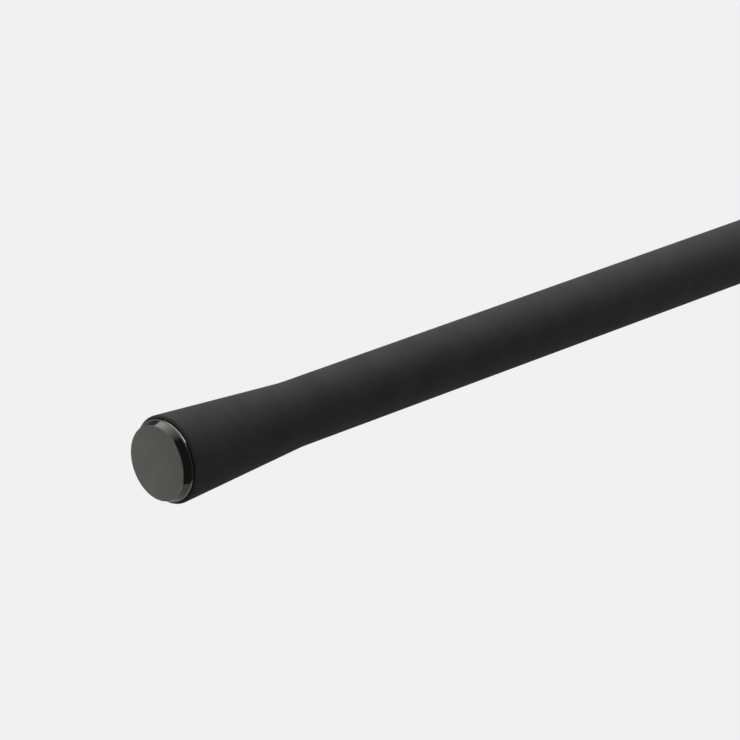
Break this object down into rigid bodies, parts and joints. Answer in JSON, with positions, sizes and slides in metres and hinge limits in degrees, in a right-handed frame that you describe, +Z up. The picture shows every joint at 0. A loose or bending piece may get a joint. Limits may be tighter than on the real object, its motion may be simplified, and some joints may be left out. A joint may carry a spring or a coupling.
{
  "type": "carp rod",
  "caption": "Two-piece carp fishing rod: foam handle with metal butt cap, screw reel seat, tapered carbon blank, spigot joint, ringed line guides and tip ring.",
  "frame": {"origin": "centre of the butt cap's flat face, on the rod's axis", "axes": "+X runs along the rod to the tip, +Z is up with the reel seat's foot side and the guides on -Z, +Y is to the left seen from the butt"},
  "size_m": [3.6582, 0.0526, 0.0916],
  "materials": {
    "foam": "matte closed-cell foam",
    "gunmetal": "satin anodised with a polished bevel",
    "carbon": "satin clear coat over carbon fibre",
    "nylon": "fine matte moulding",
    "rubber": "soft matte",
    "steel": "smoked polished steel",
    "ceramic": "polished ceramic",
    "epoxy": "thread under clear epoxy",
    "arbor": "rigid foam bush, hidden"
  },
  "bodies": {
    "butt_section": {"butt_cap": "gunmetal", "rear_grip": "foam", "rear_collar": "gunmetal", "seat_body": "nylon", "seat_bushes": "arbor", "fixed_hood_sleeve": "gunmetal", "fixed_hood_liner": "rubber", "fore_grip": "foam", "fore_collar": "gunmetal", "fore_whipping": "epoxy", "butt_blank": "carbon", "line_clip": "steel", "line_clip_whipping": "epoxy", "spigot": "carbon", "butt_joint_whipping": "epoxy", "guide_1_frame": "steel", "guide_1_ring": "ceramic", "guide_1_whipping": "epoxy"},
    "reel_hood": {"moving_hood": "nylon", "moving_hood_sleeve": "gunmetal", "moving_hood_liner": "rubber"},
    "lock_nut": {"lock_nut": "nylon", "lock_nut_ring": "gunmetal"},
    "tip_section": {"tip_blank": "carbon", "tip_joint_whipping": "epoxy", "tip_ring_frame": "steel", "tip_ring_insert": "ceramic", "tip_ring_whipping": "epoxy", "guide_2_frame": "steel", "guide_2_ring": "ceramic", "guide_2_whipping": "epoxy", "guide_3_frame": "steel", "guide_3_ring": "ceramic", "guide_3_whipping": "epoxy", "guide_4_frame": "steel", "guide_4_ring": "ceramic", "guide_4_whipping": "epoxy", "guide_5_frame": "steel", "guide_5_ring": "ceramic", "guide_5_whipping": "epoxy", "guide_6_frame": "steel", "guide_6_ring": "ceramic", "guide_6_whipping": "epoxy"}
  },
  "joints": [
    {"name": "tip_section_slide", "type": "slide", "parent": "butt_section", "child": "tip_section", "axis": [1, 0, 0], "range_m": [0, 0.12]},
    {"name": "hood_slide", "type": "slide", "parent": "butt_section", "child": "reel_hood", "axis": [1, 0, 0], "range_m": [0, 0.03]},
    {"name": "nut_turn", "type": "hinge", "parent": "reel_hood", "child": "lock_nut", "pos_m": [0.57745, 0, 0], "axis": [1, 0, 0], "range_deg": [0, 4320]}
  ],
  "couplings": [
    {"joint": "hood_slide", "follows": "nut_turn", "m_per_rad": 0.00039789}
  ]
}
